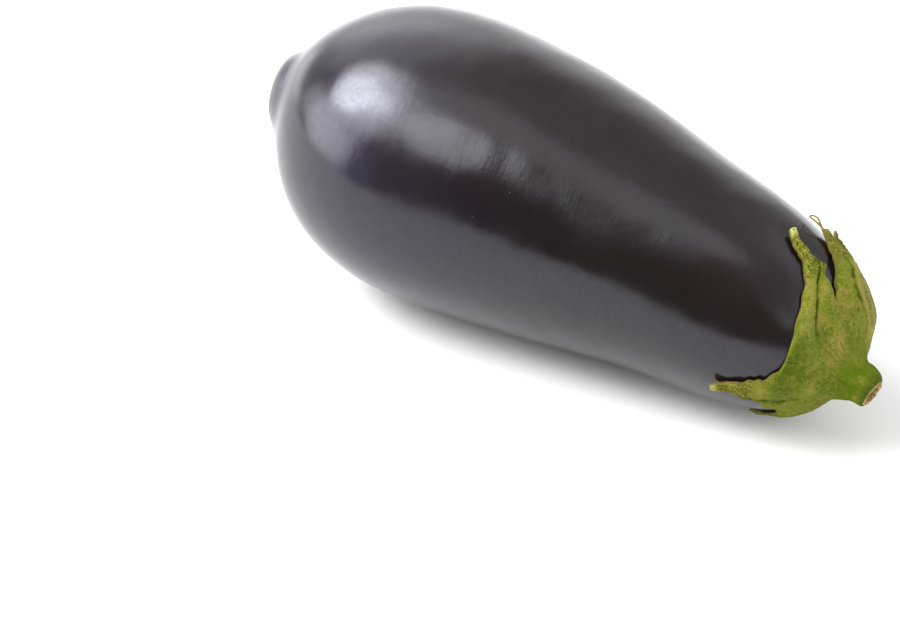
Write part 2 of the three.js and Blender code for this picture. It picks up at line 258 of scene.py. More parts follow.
MERIDIAN_POINTS = 6001
MERIDIAN_STEP = 0.1
OUTLINE_ROWS = 900
OUTLINE_SIDES = 361
WELD_DIGITS = 4
FRUIT_ROWS = 300
FRUIT_SIDES = 280
SCAR_ROWS = 10
SCAR_FINENESS = 5
LOBE_COLUMNS = 64
CUT_ROWS = 16
BARREL_ROWS = 22
FLARE_ROWS = 22
CAP_ROWS = 26
INNER_ROWS = 7
LOBE_ROWS_A_STATION = 9
RIM_STEPS = 4
THREAD_POINTS = 30
THREAD_SIDES = 8


# ---- Small mathematics ----

def mix(a, b, t):
    return a + (b - a) * t


def unit(v):
    return v / np.linalg.norm(v, axis=-1, keepdims=True)


def smooth(a, b, t):
    """An eased step from 0 at a to 1 at b."""
    k = np.clip((t - a) / (b - a), 0, 1)
    return k * k * (3 - 2 * k)


def bell(d, half):
    """A bell curve of height 1 round 0."""
    return np.exp(-((d / half) ** 2))


def bspline(points, u):
    """Points of a clamped uniform cubic B-spline at the values u from 0 to 1."""
    points = np.asarray(points, float)
    spans = len(points) - 3
    first = np.minimum((u * spans).astype(int), spans - 1)
    d = [points[first + j] for j in range(4)]
    for level in range(1, 4):
        for j in range(3, level - 1, -1):
            low = np.clip((first + j - 3) / spans, 0, 1)
            high = np.clip((first + j + 1 - level) / spans, 0, 1)
            k = ((u - low) / (high - low))[:, None]
            d[j] = mix(d[j - 1], d[j], k)
    return d[3]


def along(rows, t):
    """Rows of a table at the values t from 0 to 1, curved smoothly through its own rows."""
    rows = np.asarray(rows, float)
    last = len(rows) - 1
    i = np.minimum((t * last).astype(int), last - 1)
    k = (t * last - i)[:, None]
    a, b = rows[i], rows[i + 1]
    before, after = rows[np.maximum(i - 1, 0)], rows[np.minimum(i + 2, last)]
    p, q = (b - before) / 2, (after - a) / 2
    return a + p * k + (3 * (b - a) - 2 * p - q) * k**2 + (2 * (a - b) + p + q) * k**3


def from_bearing(degrees, bearing):
    """Turn from a bearing, in degrees between -180 and 180."""
    return (degrees - bearing + 180) % 360 - 180


def waves(seed, turns, spacing, count=18):
    """A random smooth field, of size about 1, over (distance along in mm, angle round)."""
    rng = np.random.default_rng(seed)
    m = rng.integers(turns[0], turns[1] + 1, count) * rng.choice([-1, 1], count)
    k = 2 * np.pi / rng.uniform(*spacing, count)
    phase = rng.uniform(0, 2 * np.pi, count)

    def field(distance, angle):
        total = sum(np.cos(m[i] * angle + k[i] * distance + phase[i]) for i in range(count))
        return total / math.sqrt(count / 2)

    return field


# ---- The fruit's skin ----

def axis_at(x):
    """Axis points and unit directions ahead and sideways at distances from the blossom end."""
    x = np.asarray(x, float)
    flat = np.zeros_like(x)
    slope = BOW * 4 * (LENGTH - 2 * x) / LENGTH**2
    bowed = BOW * 4 * x * (LENGTH - x) / LENGTH**2
    origin = np.stack([x, bowed, BOSS_RISE * bell(x, BOSS_RUN)], -1)
    ahead = unit(np.stack([flat + 1, slope, flat], -1))
    side = np.stack([-ahead[..., 1], ahead[..., 0], flat], -1)
    return origin, ahead, side


def swell(x, angle):
    """How many times as wide as its profile the fruit is."""
    swollen = sum(
        height * np.cos(number * angle + turn + x / twist)
        for number, height, turn, twist in SWELLINGS
    )
    return 1 + swollen * np.sin(np.pi * x / LENGTH)


def scar(r):
    """How far the blossom end is pressed in, by the radius there."""
    depth, width = SCAR_PIT
    lip, lip_radius, lip_width = SCAR_LIP
    return depth * bell(r, width) - lip * bell(r - lip_radius, lip_width)


broad_lumps = waves(11, (2, 6), (45, 95))
crumple = waves(12, (4, 15), (9, 22), 26)
cross_streaks = waves(13, (0, 9), (2.4, 5), 26)


def skin_relief(x, r, angle):
    """Slight natural unevenness of the skin, in mm: lumps, crumples and streaks across it."""
    relief = SKIN_LUMPS * broad_lumps(x, angle) + SKIN_CRUMPLE * crumple(x, angle)
    return smooth(0, EVEN_END_RADIUS, r) * (relief + SKIN_STREAKS * cross_streaks(x, angle))


def meridian():
    """Distance from the blossom end, radius and unit normal, by arc length from the stalk apex."""
    line = bspline(PROFILE, np.linspace(1, 0, MERIDIAN_POINTS))
    arc = np.concatenate([[0], np.cumsum(np.linalg.norm(np.diff(line, axis=0), axis=1))])
    even = np.arange(0, arc[-1], MERIDIAN_STEP)
    x = np.interp(even, arc, line[:, 0])
    r = np.interp(even, arc, line[:, 1])
    dx, dr = np.gradient(x, even), np.gradient(r, even)
    dx[0], dr[0] = 0, 1
    for values in (dx, dr):
        values[1:-1] = np.convolve(values, [0.25, 0.5, 0.25], "valid")
    size = np.hypot(dx, dr)
    return even, x, r, dx / size, dr / size


ARC, ARC_X, ARC_R, ARC_DX, ARC_DR = meridian()


def on_skin(arc, angle, height):
    """Points above the skin: arc distance from the stalk apex, angle round the axis, height."""
    x, r = np.interp(arc, ARC, ARC_X), np.interp(arc, ARC, ARC_R)
    dx, dr = np.interp(arc, ARC, ARC_DX), np.interp(arc, ARC, ARC_DR)
    origin, ahead, side = axis_at(x)
    out = side * np.cos(angle)[..., None] + UP * np.sin(angle)[..., None]
    radial = r * swell(x, angle) + skin_relief(x, r, angle) - dx * height
    return origin + out * radial[..., None] + ahead * (dr * height)[..., None]


# ---- Placing in the shared frame ----

def tilted(points):
    """Points of the fruit's own axis turned to how it lies."""
    c, s = math.cos(TILT), math.sin(TILT)
    return points @ np.array([[c, 0, s], [0, 1, 0], [-s, 0, c]]).T


def fruit_points(u, angle, uneven=1):
    """Tilted points of the skin, and their distances along the axis and radii."""
    x, r = bspline(PROFILE, u).T
    x, r = x[:, None], r[:, None]
    origin, ahead, side = axis_at(x + 0 * angle)
    out = side * np.cos(angle)[..., None] + UP * np.sin(angle)[..., None]
    radius = r * swell(x, angle) + uneven * skin_relief(x, r, angle)
    sunk = np.where(x < BLOSSOM_SIDE, scar(r), 0)[..., None]
    return tilted(origin + out * radius[..., None] + ahead * sunk), x + 0 * angle, r + 0 * angle


def shift_to_frame():
    """What moves the tilted fruit onto the solid one."""
    round_about = np.linspace(0, 2 * np.pi, OUTLINE_SIDES)[None, :]
    plain = fruit_points(np.linspace(0, 1, OUTLINE_ROWS), round_about, 0)[0]
    low, high = (np.array(corner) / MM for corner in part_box("fruit"))
    lowest, highest = plain.min((0, 1)), plain.max((0, 1))
    shift = (low + high) / 2 - (lowest + highest) / 2
    shift[2] = high[2] - highest[2]
    return shift


SHIFT = shift_to_frame()


# ---- Meshes ----

class Skin:
    """Collects sheets of points and welds them into one mesh with named marks as attributes."""

    def __init__(self, names, flowing=False):
        self.names = names
        self.flowing = flowing
        self.points = []
        self.flows = []
        self.marks = []
        self.faces = []
        self.count = 0

    def sheet(self, points, marks, flip=False, flow=None):
        """Adds a grid of points, each square of it split along its shorter diagonal."""
        rows, columns = points.shape[:2]
        index = self.count + np.arange(rows * columns).reshape(rows, columns)
        a, b = index[:-1, :-1].ravel(), index[1:, :-1].ravel()
        c, d = index[1:, 1:].ravel(), index[:-1, 1:].ravel()
        if flip:
            b, d = d, b
        flat = points.reshape(-1, 3)
        at = [k - self.count for k in (a, b, c, d)]
        short = np.linalg.norm(flat[at[0]] - flat[at[2]], axis=1) <= np.linalg.norm(
            flat[at[1]] - flat[at[3]], axis=1
        )
        one = np.where(short[:, None], np.stack([a, b, c], 1), np.stack([a, b, d], 1))
        two = np.where(short[:, None], np.stack([a, c, d], 1), np.stack([b, c, d], 1))
        self.points.append(flat)
        if self.flowing:
            self.flows.append(flow.reshape(-1, 3))
        spread = [np.broadcast_to(mark, points.shape[:2]).ravel() for mark in marks]
        self.marks.append(np.stack(spread, 1))
        self.faces += [one, two]
        self.count += rows * columns

    def build(self, name):
        points = np.concatenate(self.points)
        faces = np.concatenate(self.faces)
        marks = np.concatenate(self.marks)
        _, first, inverse = np.unique(
            np.round(points, WELD_DIGITS), axis=0, return_index=True, return_inverse=True
        )
        faces = inverse.ravel()[faces]
        a, b, c = faces.T
        faces = faces[(a != b) & (b != c) & (c != a)]
        mesh = bpy.data.meshes.new(name)
        mesh.from_pydata((points[first] * MM).tolist(), [], faces.tolist())
        for column, mark in enumerate(self.names):
            layer = mesh.attributes.new(mark, "FLOAT", "POINT")
            layer.data.foreach_set("value", marks[first, column].astype(np.float32))
        if self.flowing:
            layer = mesh.attributes.new("flow", "FLOAT_VECTOR", "POINT")
            layer.data.foreach_set("vector", (np.concatenate(self.flows)[first] * MM).ravel())
        mesh.shade_smooth()
        mesh.validate()
        piece = bpy.data.objects.new(name, mesh)
        bpy.context.scene.collection.objects.link(piece)
        return piece


def build_fruit():
    """The whole skin, eased to a flat spot where it meets the floor."""
    skin = Skin(["blossom", "nub", "shoulder", "lit_topside", "broad_end"])
    early = np.linspace(0, SCAR_ROWS / FRUIT_ROWS, SCAR_FINENESS * SCAR_ROWS + 1)[:-1]
    u = np.concatenate([early, np.linspace(0, 1, FRUIT_ROWS + 1)[SCAR_ROWS:]])
    angle = np.linspace(0, 2 * np.pi, FRUIT_SIDES + 1)[None, :] % (2 * np.pi)
    points, x, r = fruit_points(u, angle)
    points = points + SHIFT
    points[..., 2] = (points[..., 2] + np.sqrt(points[..., 2] ** 2 + FLOOR_EASE**2)) / 2
    blossom = np.where(x < BLOSSOM_SIDE, 1 - smooth(*CORK_RADII, r), 0)
    nub = np.where(x < BLOSSOM_SIDE, 1 - smooth(*NUB_RADII, r), 0)
    shoulder = smooth(*SHOULDER, x)
    # Painted light, partly a warmer tone: the top side gets a lighter, warmer colour.
    lit_topside = smooth(*TOPSIDE_SINES, np.sin(angle)) * smooth(*TOPSIDE, x)
    broad_end = 1 - smooth(*BROAD_END, x)
    skin.sheet(points, [blossom, nub, shoulder, lit_topside, broad_end], flip=True)
    return skin.build("fruit_skin")


# ---- The calyx ----

def stalk_frame():
    """The stalk's base point and its unit directions along, right and up."""
    origin, ahead, side = (v[0] for v in axis_at([LENGTH]))
    axis = unit(ahead + side * STALK_TURN[0] + UP * STALK_TURN[1])
    right = unit(side - axis * side.dot(axis))
    return origin + side * STALK_SHIFT[0] + UP * STALK_SHIFT[1], axis, right, np.cross(axis, right)


STALK_BASE, STALK_AXIS, STALK_RIGHT, STALK_TOP = stalk_frame()

stalk_lumps = waves(21, (5, 16), (30, 60), 14)
stalk_grain = waves(22, (18, 40), (6, 16), 20)
cap_lumps = waves(23, (4, 12), (6, 14), 22)
cap_grain = waves(24, (14, 60), (1.6, 4), 34)
edge_wander = waves(25, (1, 1), (2, 7), 16)
edge_flutter = waves(26, (1, 1), (5, 12), 12)
crease_wander = waves(29, (1, 1), (2.5, 9), 16)
crease_rag = waves(31, (1, 1), (0.7, 1.5), 16)
crease_depth = waves(30, (1, 1), (1.5, 6), 16)
crinkle = waves(27, (3, 22), (0.9, 1.9), 26)
pith_grain = waves(28, (3, 14), (0.7, 1.8), 22)


def on_stalk(height, radius, angle, lean=0):
    """Points of the stalk; lean is how far they follow the cut end, from 0 to 1."""
    ribbed = sum((rise * np.cos(number * angle + turn) for number, rise, turn in STALK_RIBS), 1)
    uneven = STALK_LUMPS * stalk_lumps(height, angle) + STALK_GRAIN * stalk_grain(height, angle)
    r = radius * ribbed + uneven * smooth(*STALK_GRAIN_RADII, radius)
    x = r * np.cos(angle) + lean * CUT_SHIFT[0]
    y = r * np.sin(angle) + lean * CUT_SHIFT[1]
    ahead = height + lean * (CUT_SLOPE[0] * x + CUT_SLOPE[1] * y)
    return (
        STALK_BASE
        + STALK_AXIS * ahead[..., None]
        + STALK_RIGHT * x[..., None]
        + STALK_TOP * y[..., None]
    )


def folds(arc, degrees):
    """Height of the folds, and the marks of the flesh: ridge streaks that are partly painted
    highlight, painted shade in the creases, a patch of painted shade and darker green, and a
    scuff.
    """
    nothing = 0 * (arc + degrees)
    total, ridge_streaks_and_highlight, dry, painted_crease_shade, across_ridge = nothing, nothing, nothing, nothing, nothing
    radius = np.interp(arc, ARC, ARC_R)
    for path, half, crease, offset, dryness in FOLDS:
        at, bearing, height = np.array(path, float).T
        centre = np.interp(arc, at, bearing)
        high = np.interp(arc, at, height)
        d = np.radians(from_bearing(degrees, centre)) * radius
        ends = np.minimum((arc - at[0]) / RIDGE_FADE, (at[-1] - arc) / RIDGE_FADE)
        opened = np.clip(ends, 0, 1) * smooth(*CREASE_START, arc - at[0])
        side = np.where((d > 0) == (offset > 0), RIDGE_STEEP, RIDGE_GENTLE)
        run = arc + FOLD_APART * offset
        wander = CREASE_WANDER * crease_wander(run, 1.0) + CREASE_RAG * crease_rag(run, 1.0)
        least, more = CREASE_DEPTH
        deep = least + more * smooth(*CREASE_DEPTH_WAVES, crease_depth(run, 1.0))
        across = d - offset - wander
        cleft = opened * deep * bell(across, CREASE_WIDTH)
        lip, out, width = CREASE_LIP
        lips = opened * (bell(across - out, width) + bell(across + out, width))
        total += high * bell(d, half * side) + crease * (lip * lips - cleft)
        # Pale streaks along the crests of the green ridges: partly painted highlight, partly the
        # flesh's own pale streaks.
        crest = np.minimum(high, 1) * bell(d, half * side * CREST)
        across_ridge = np.where(crest > ridge_streaks_and_highlight, d, across_ridge)
        ridge_streaks_and_highlight = np.maximum(ridge_streaks_and_highlight, (1 - dryness) * crest)
        dry = np.maximum(dry, dryness * crest)
        # Painted shade: the colour darkens along each crease, where shade falls.
        shaded = (crease > 0) * opened * deep * bell(across, CREASE_SHADE_WIDTH)
        painted_crease_shade = np.maximum(painted_crease_shade, shaded)
    tones = {"ridge_streaks_and_highlight": ridge_streaks_and_highlight, "dry": dry, "painted_crease_shade": painted_crease_shade}
    tones.update(run=nothing + arc * MM, across=across_ridge * MM, **shaded_patch_and_scuff(arc, degrees, radius))
    return total, tones


def shaded_patch_and_scuff(arc, degrees, radius):
    """A patch low on the flesh, darker green as painted shade and as darker flesh, and a small
    scuff beside the stalk.
    """
    start, full, last, end = SHADE_BEARINGS
    between = smooth(start, full, degrees) * (1 - smooth(last, end, degrees))
    distance, width = SHADE_DISTANCE
    aside = np.radians(from_bearing(degrees, SCUFF[1])) * radius
    return {
        "dark_green_and_shade": between * bell(arc - distance, width),
        "scuff": bell(arc - SCUFF[0], SCUFF_WIDTHS[0]) * bell(aside, SCUFF_WIDTHS[1]),
    }


def flesh_relief(arc, angle):
    return FLESH_LUMPS * cap_lumps(arc, angle) + FLESH_GRAIN * cap_grain(arc, angle)


def cap_surface(arc, degrees, dip):
    """Outer side of the cap with its marks; dip is how far it thins to an edge, from 0 to 1."""
    angle = np.radians(degrees)
    raised, tones = folds(arc, degrees)
    uneven = CAP_WAVES * np.sin(5 * angle + arc / 3) * np.sin(2 * angle + 1)
    flesh = CAP_THICKNESS + raised + uneven
    height = GAP + mix(flesh, EDGE_THICKNESS, dip) + flesh_relief(arc, angle)
    return on_skin(arc, angle, height), tones


def flare_surface(t, degrees):
    """The sweep from the stalk to the cap: a curve with both ends' directions at each bearing."""
    angle = np.radians(degrees)
    a = on_stalk(FLARE_START, FLARE_RADIUS, angle)
    above = on_stalk(FLARE_START + 1, FLARE_RADIUS - FLARE_WIDENING, angle)
    leave = (a - above) * FLARE_LEAVE
    b, tones = cap_surface(FLARE_END + 0 * angle, degrees, 0)
    arrive = (
        cap_surface(FLARE_END + 0.5 + 0 * angle, degrees, 0)[0]
        - cap_surface(FLARE_END - 0.5 + 0 * angle, degrees, 0)[0]
    )
    arrive *= FLARE_ARRIVE / np.linalg.norm(arrive, axis=-1, keepdims=True)
    t = t[:, None, None]
    points = (
        a * (2 * t**3 - 3 * t**2 + 1)
        + leave * (t**3 - 2 * t**2 + t)
        + b * (3 * t**2 - 2 * t**3)
        + arrive * (t**3 - t**2)
    )
    return points, {name: tone * t[..., 0] ** 2 for name, tone in tones.items()}


def flow_at(run, degrees):
    """A place along the flesh's fibres, which run from the stalk to the tips, in mm."""
    angle = np.radians(degrees)
    round_x, round_y = FLOW_RADIUS * np.cos(angle), FLOW_RADIUS * np.sin(angle)
    return np.stack(np.broadcast_arrays(run, round_x, round_y), -1)


def lobe_place(rows, number, w, t):
    """Arc distance, bearing and lift on a lobe, with w across it and t from base to tip."""
    s0, b0, s1, b1, lift = along(rows, t).T[:, :, None]
    settle = smooth(*EDGE_START, t)[:, None]
    calm = 1 - EDGE_CALMING * smooth(*EDGE_CALM, t)[:, None]
    wander = EDGE_WANDER * settle * calm / np.radians(np.interp(s0, ARC, ARC_R))
    b0 = b0 + wander * edge_wander(s0 + LOBE_APART * number, 1.0)
    b1 = b1 + wander * edge_wander(s1 + LOBE_APART * number + EDGE_APART, 1.0)
    arc, degrees = mix(s0, s1, w), mix(b0, b1, w)
    flutter = edge_flutter(np.where(w < 0.5, 0, FLUTTER_APART) + s0 + LOBE_APART * number, 1.0)
    rise = EDGE_LIFT * settle * calm * (1 + flutter) * np.abs(2 * w - 1) ** 3
    return arc, degrees, lift + np.maximum(rise, 0), settle


def lobe_surface(rows, number, w, t):
    """Outer and under side of a lobe, with its marks and the flow of its fibres."""
    arc, degrees, lift, settle = lobe_place(rows, number, w, t)
    angle = np.radians(degrees)
    raised, tones = folds(arc, degrees)
    round_off = np.sqrt(1 - (2 * w - 1) ** 4)
    flesh = mix(CAP_THICKNESS, LOBE_THICKNESS, smooth(*THINNING, t)[:, None]) + raised
    strap = smooth(*STRAP, t)[:, None]
    crinkled = CRINKLE * strap * (CRINKLE_LEVEL - np.abs(crinkle(arc, angle))) * round_off
    flesh = mix(EDGE_THICKNESS, np.maximum(flesh, EDGE_THICKNESS), round_off) + crinkled
    outer = on_skin(arc, angle, GAP + lift + flesh + flesh_relief(arc, angle))
    under = on_skin(arc, angle, GAP + lift + 0 * flesh)
    tones["edge"] = np.abs(2 * w - 1) ** 5 * settle
    tones["strap"] = strap + 0 * arc
    tip = smooth(*TIP, t)[:, None] + 0 * arc
    if number in CURLED_LOBES:
        tones["dry"] = np.maximum(tones["dry"], DRY_TIP * tip)
    else:
        tones["tip"] = tip
    return outer, under, tones, flow_at(arc, degrees)


def rim_rows(outer, under, outward, bulge):
    """A rounded rim between two edges: points with shape (along, RIM_STEPS + 1, 3)."""
    turn = np.linspace(np.pi, 0, RIM_STEPS + 1)[None, :, None]
    middle, half = (outer + under)[:, None] / 2, (outer - under)[:, None] / 2
    return middle + half * np.cos(turn) + (outward * bulge[:, None])[:, None] * np.sin(turn)


MARKS = [
    "ridge_streaks_and_highlight", "dry", "painted_crease_shade", "run", "across", "dark_green_and_shade", "scuff", "edge", "strap", "tip", "stalk",
    "end", "cut", "pith", "inside",
]


def marks(**given):
    """The marks of a sheet of the calyx, in the order of MARKS; those not given are 0."""
    return [given.get(name, 0.0) for name in MARKS]


def resample(points, steps):
    """Rows of a short table at even steps, curved smoothly through its own rows."""
    return along(points, np.linspace(0, 1, steps))


def thread_tube(path):
    """A thin tapering tube along a path above the skin."""
    arc, degrees, height = resample(path, THREAD_POINTS).T
    line = on_skin(arc, np.radians(degrees), height)
    ahead = unit(np.gradient(line, axis=0))
    across = unit(np.cross(ahead, UP))
    above = np.cross(across, ahead)
    taper = np.linspace(1, THREAD_TAPER, len(line))
    taper[0] = taper[-1] = 0
    round_about = np.linspace(0, 2 * np.pi, THREAD_SIDES + 1)
    radius = THREAD_RADIUS * taper[:, None, None]
    offset = across[:, None] * np.cos(round_about)[None, :, None]
    offset = offset + above[:, None] * np.sin(round_about)[None, :, None]
    flow = flow_at(arc[:, None], degrees[:, None] + 0 * round_about)
    return line[:, None] + offset * radius, flow


def add_stalk(skin, degrees):
    """The stalk's cut end and its side down to the flare, over one lobe's bearings."""
    angle = np.radians(degrees)
    end = resample(CUT_END, CUT_ROWS)
    radius, height = end[:, :1], end[:, 1:]
    grain = PITH_GRAIN * pith_grain(radius * PITH_GRAIN_STRETCH, angle)
    grain = grain * smooth(*PITH_GRAIN_RADII, radius)
    face = on_stalk(STALK_LENGTH + height + grain, radius, angle, 1)
    ring = smooth(*PITH_RADII, radius) + 0 * angle
    flow = flow_at(-STALK_LENGTH + 0 * radius, degrees)
    skin.sheet(face, marks(cut=1.0, pith=1 - ring, stalk=1.0), flow=flow)

    rim_radius, rim_height = CUT_END[-1]
    top, foot = (STALK_LENGTH + rim_height, rim_radius, 1), (FLARE_START, FLARE_RADIUS, 0)
    side = resample([top, *STALK_SIDE, foot], BARREL_ROWS)
    barrel = on_stalk(side[:, :1], side[:, 1:2], angle, side[:, 2:])
    barrel[0] = face[-1]
    barrel[-1] = flare_surface(np.zeros(1), degrees)[0][0]
    down = np.linspace(0, 1, BARREL_ROWS)[:, None]
    below_cut = smooth(*CUT_RIM, down)
    cut = 1 - below_cut
    end = below_cut * (1 - smooth(*STALK_END, down))
    flow = flow_at(-side[:, :1], degrees)
    skin.sheet(barrel, marks(stalk=1.0, cut=cut + 0 * angle, end=end + 0 * angle), flow=flow)


def add_flare(skin, degrees):
    """The sweep from the stalk to the cap, over one lobe's bearings."""
    t = np.linspace(0, 1, FLARE_ROWS + 1)
    flare, tones = flare_surface(t, degrees)
    fade = (1 - smooth(*STALK_FADE, t))[:, None] + 0 * degrees
    flow = flow_at(mix(-FLARE_START, FLARE_END, t)[:, None], degrees)
    skin.sheet(flare, marks(stalk=fade, **tones), flow=flow)


def add_lobe(skin, number, rows, w):
    """The part of the cap above a lobe, the lobe, both their undersides and the rim."""
    base = rows[0]
    degrees = mix(base[1], base[3], w)
    first_row = mix(base[0], base[2], w)
    t = np.linspace(0, 1, CAP_ROWS + 1)[:, None]
    arc = mix(FLARE_END, first_row, t)
    dip = (1 - np.sqrt(1 - (2 * w - 1) ** 4)) * smooth(*CAP_DIP, t)
    cap, tones = cap_surface(arc, degrees + 0 * arc, dip)

    t = np.linspace(0, 1, (len(rows) - 1) * LOBE_ROWS_A_STATION + 1)
    outer, under, blade_tones, flow = lobe_surface(rows, number, w, t)
    outer[0] = cap[-1]
    skin.sheet(cap, marks(**tones), flow=flow_at(arc, degrees))
    skin.sheet(outer, marks(**blade_tones), flow=flow)
    strap = blade_tones["strap"]

    arc = first_row * np.linspace(0, 1, INNER_ROWS)[:, None]
    inner = on_skin(arc, np.radians(degrees) + 0 * arc, GAP + 0 * arc)
    under[0] = inner[-1]
    skin.sheet(inner, marks(inside=1.0), flip=True, flow=flow_at(arc, degrees))
    skin.sheet(under, marks(inside=1.0, strap=strap), flip=True, flow=flow)

    bulge = RIM_BULGE * smooth(*RIM_START, t)
    corners = []
    for column, nearby, flip in ((0, 2, False), (-1, -3, True)):
        outward = unit(outer[:, column] - outer[:, nearby])
        rim = rim_rows(outer[:, column], under[:, column], outward, bulge)
        corners.append(rim[-1])
        rim_marks = marks(edge=1.0, strap=strap[:, :1] + 0 * rim[..., 0])
        skin.sheet(rim, rim_marks, flip=flip, flow=flow[:, column, None] + 0 * rim)
    outward = unit(outer[-1] - outer[-3])
    tip = rim_rows(outer[-1], under[-1], outward, RIM_BULGE * np.ones(LOBE_COLUMNS + 1))
    tip[0], tip[-1] = corners
    skin.sheet(tip, marks(edge=1.0, strap=1.0, tip=1.0), flow=flow[-1][:, None] + 0 * tip)


def build_calyx():
    """The stalk, the cap, its lobes and the threads, welded into one mesh."""
    skin = Skin(MARKS, flowing=True)
    w = np.linspace(0, 1, LOBE_COLUMNS + 1)[None, :]
    for number, rows in enumerate(LOBES):
        degrees = mix(rows[0][1], rows[0][3], w)
        add_stalk(skin, degrees)
        add_flare(skin, degrees)
        add_lobe(skin, number, rows, w)
    for path in THREADS:
        tube, flow = thread_tube(path)
        skin.sheet(tube, marks(dry=1.0, edge=THREAD_DARKNESS), flow=flow)
    for part in skin.points:
        part[:] = tilted(part) + SHIFT
    return skin.build("calyx_flesh")


# ---- Materials ----

# Colours in linear light.
SKIN_COLORS = {
    "dark": (0.0050, 0.0036, 0.0030),
    "brown": (0.0078, 0.0054, 0.0042),
    "violet": (0.0105, 0.0070, 0.0150),
    # Lighter, warmer colour for the top side: partly painted light.
    "warm_lit_top": (0.0110, 0.0058, 0.0050),
    "shoulder": (0.014, 0.008, 0.012),
    "speck": (0.110, 0.085, 0.080),
    "dull": (0.080, 0.073, 0.076),
    "dark bark": (0.055, 0.028, 0.013),
    "pale bark": (0.230, 0.150, 0.080),
}
CALYX_COLORS = {
    "dark green": (0.064, 0.096, 0.003),
    "light green": (0.120, 0.136, 0.008),
    "yellow mottle": (0.212, 0.198, 0.038),
    "green mottle": (0.042, 0.066, 0.001),
    "dark grain": (0.050, 0.066, 0.002),
    "pale grain": (0.250, 0.234, 0.058),
    "worn": (0.212, 0.164, 0.034),
    # Painted shade, partly darker flesh, low on the calyx.
    "dark_green_and_shade": (0.044, 0.070, 0.001),
    "scuff": (0.330, 0.225, 0.085),
    "stalk": (0.060, 0.100, 0.001),
    "stalk end": (0.034, 0.056, 0.001),
    # Pale streaks on the ridges: partly painted highlight.
    "ridge_streaks_and_highlight": (0.240, 0.260, 0.080),
    "dry ridge": (0.330, 0.265, 0.080),
    "strap": (0.088, 0.094, 0.006),
    "fleck": (0.250, 0.225, 0.042),
    "pit": (0.030, 0.032, 0.001),
    "tip": (0.330, 0.345, 0.100),
    "edge": (0.085, 0.065, 0.018),
    # Painted shade in the creases.
    "painted_crease_shade": (0.036, 0.062, 0.001),
    "inside": (0.200, 0.220, 0.080),
    "dark bark": (0.130, 0.075, 0.025),
    "pale bark": (0.380, 0.290, 0.130),
    "dark pith": (0.035, 0.030, 0.008),
    "pale pith": (0.150, 0.120, 0.040),
}
FLOOR_COLORS = ((0.76, 0.76, 0.76), (0.78, 0.78, 0.78))
FLOOR_ROUGHNESS = 0.7
SKIN_SHEEN_TINT = (0.84, 0.87, 1, 1)
CALYX_SHINE = 0.05


class Nodes:
    """Short calls for building a tree of shader nodes."""

    def __init__(self, tree):
        self.tree = tree

    def node(self, kind, **settings):
        made = self.tree.nodes.new(kind)
        for key, value in settings.items():
            setattr(made, key, value)
        return made

    def link(self, source, target):
        self.tree.links.new(source, target)

    def math(self, operation, a, b):
        made = self.node("ShaderNodeMath", operation=operation)
        for socket, value in zip(made.inputs, (a, b)):
            if isinstance(value, (int, float)):
                socket.default_value = value
            else:
                self.link(value, socket)
        return made.outputs["Value"]

    def ramp(self, source, low, high, start=0.0, end=1.0):
        """An eased step from start at low to end at high."""
        made = self.node("ShaderNodeMapRange", interpolation_type="SMOOTHSTEP")
        limits = {"From Min": low, "From Max": high, "To Min": start, "To Max": end}
        for key, value in limits.items():
            made.inputs[key].default_value = value
        self.link(source, made.inputs["Value"])
        return made.outputs["Result"]


class Material(Nodes):
    """The nodes of one material."""

    def __init__(self, name):
        self.material = bpy.data.materials.new(name)
        self.material.use_nodes = True
        super().__init__(self.material.node_tree)
        self.shader = self.tree.nodes["Principled BSDF"]
        self.where = self.node("ShaderNodeTexCoord").outputs["Object"]

    def stretched(self, x, y, z, where=None):
        """A place with each direction scaled by itself."""
        mapping = self.node("ShaderNodeMapping")
        mapping.inputs["Scale"].default_value = (x, y, z)
        self.link(where or self.where, mapping.inputs["Vector"])
        return mapping.outputs["Vector"]

    def noise(self, scale, detail=4, rough=0.5, where=None, distort=0.0):
        made = self.node("ShaderNodeTexNoise")
        made.inputs["Scale"].default_value = scale
        made.inputs["Detail"].default_value = detail
        made.inputs["Roughness"].default_value = rough
        made.inputs["Distortion"].default_value = distort
        self.link(where or self.where, made.inputs["Vector"])
        return made.outputs["Fac"]

    def attribute(self, name):
        return self.node("ShaderNodeAttribute", attribute_name=name).outputs["Fac"]

    def marked(self, name, amount):
        """An amount where the mesh has a mark, in proportion to the mark."""
        return self.math("MULTIPLY", self.attribute(name), amount)

    def blend(self, amount, a, b):
        """A mix of two colours, each a tuple or a socket: a at amount 0, b at amount 1."""
        made = self.node("ShaderNodeMix", data_type="RGBA")
        sockets = [s for s in made.inputs if s.type == "RGBA"]
        for socket, value in zip(sockets, (a, b)):
            if isinstance(value, tuple):
                socket.default_value = (*value, 1)
            else:
                self.link(value, socket)
        factor = next(s for s in made.inputs if s.name == "Factor" and s.type == "VALUE")
        self.link(amount, factor)
        return next(s for s in made.outputs if s.type == "RGBA")

    def bump(self, heights):
        """Bump from a list of (height socket, strength, distance in metres)."""
        normal = None
        for height, strength, distance in heights:
            made = self.node("ShaderNodeBump")
            made.inputs["Strength"].default_value = strength
            made.inputs["Distance"].default_value = distance
            self.link(height, made.inputs["Height"])
            if normal is not None:
                self.link(normal, made.inputs["Normal"])
            normal = made.outputs["Normal"]
        self.link(normal, self.shader.inputs["Normal"])

    def paint(self, color, layers=()):
        """Makes a colour the base colour, with layers over it, each an amount and a colour."""
        for amount, over in layers:
            color = self.blend(amount, color, over)
        self.link(color, self.shader.inputs["Base Color"])


